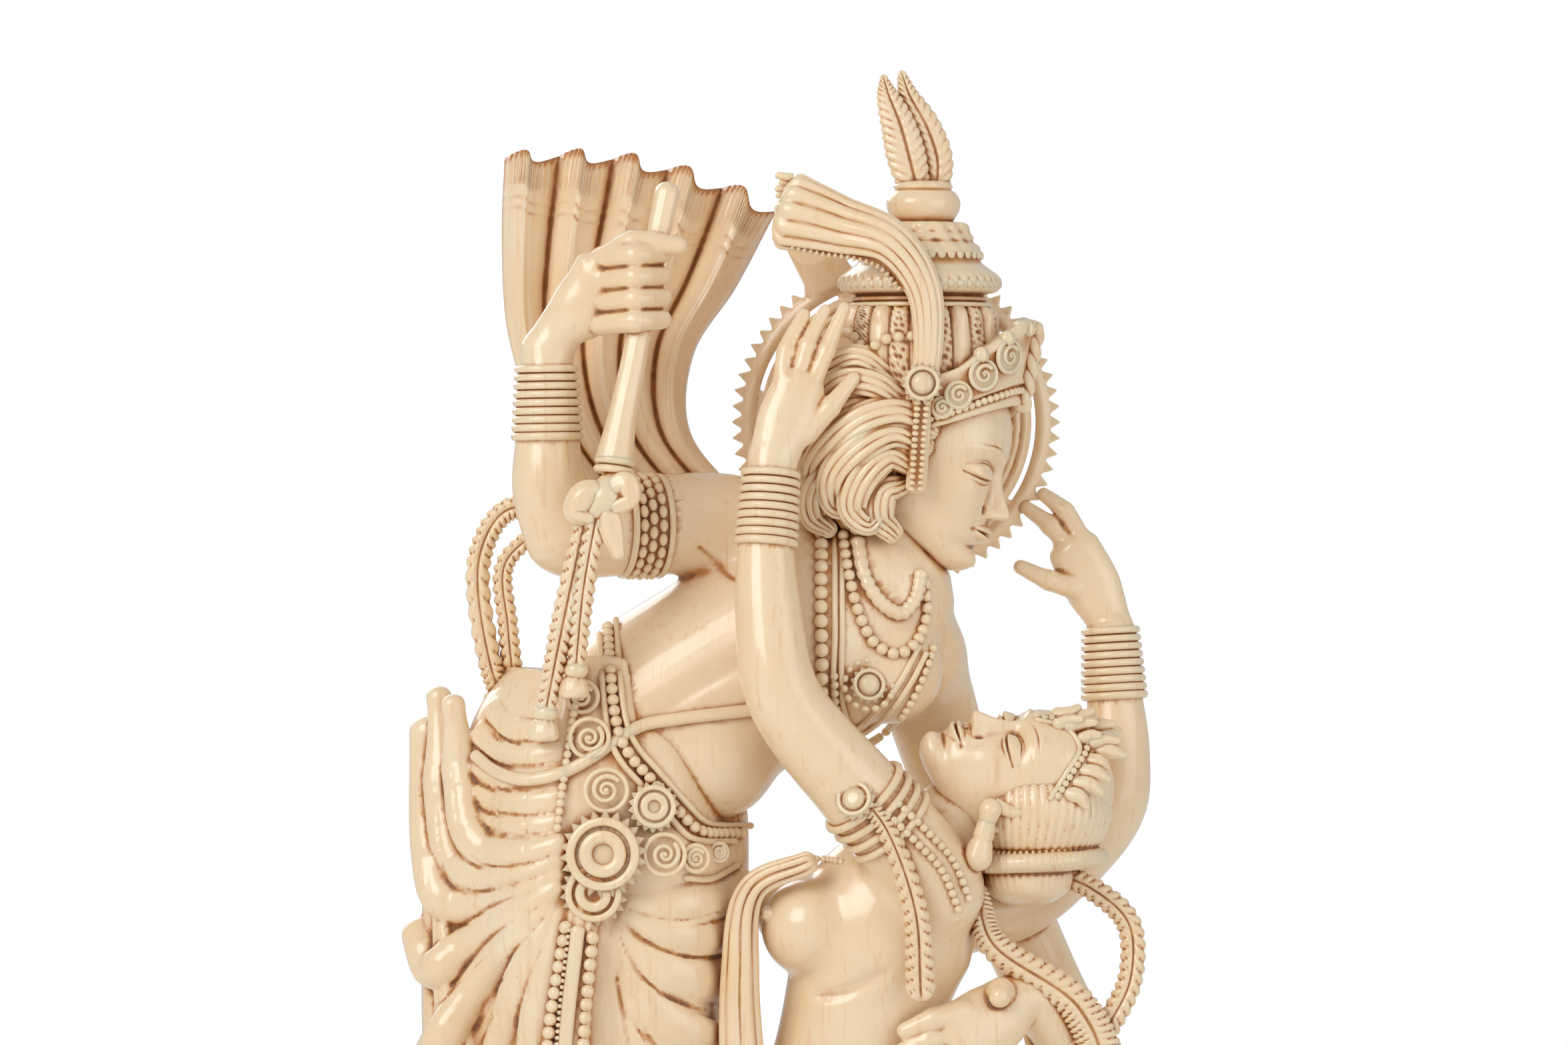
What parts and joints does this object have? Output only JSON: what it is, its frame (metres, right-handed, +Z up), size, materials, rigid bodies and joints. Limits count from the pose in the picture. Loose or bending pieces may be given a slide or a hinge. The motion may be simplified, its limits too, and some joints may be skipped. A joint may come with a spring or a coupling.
{
  "type": "carved figure group",
  "caption": "Carved group of an embracing pair with halo, veil and flute on one low oval base, with a leafed crest on the crown.",
  "frame": {"origin": "middle of the oval base's flat underside", "axes": "+Z up, +X to the viewer's right, +Y away from the viewer of the front"},
  "size_m": [0.1524, 0.08, 0.3382],
  "materials": {
    "carved_ivory": "polished carved ivory, ochre stain in the cuts"
  },
  "bodies": {
    "root": {"carved_group": "carved_ivory", "crest_finial": "carved_ivory"}
  },
  "joints": []
}
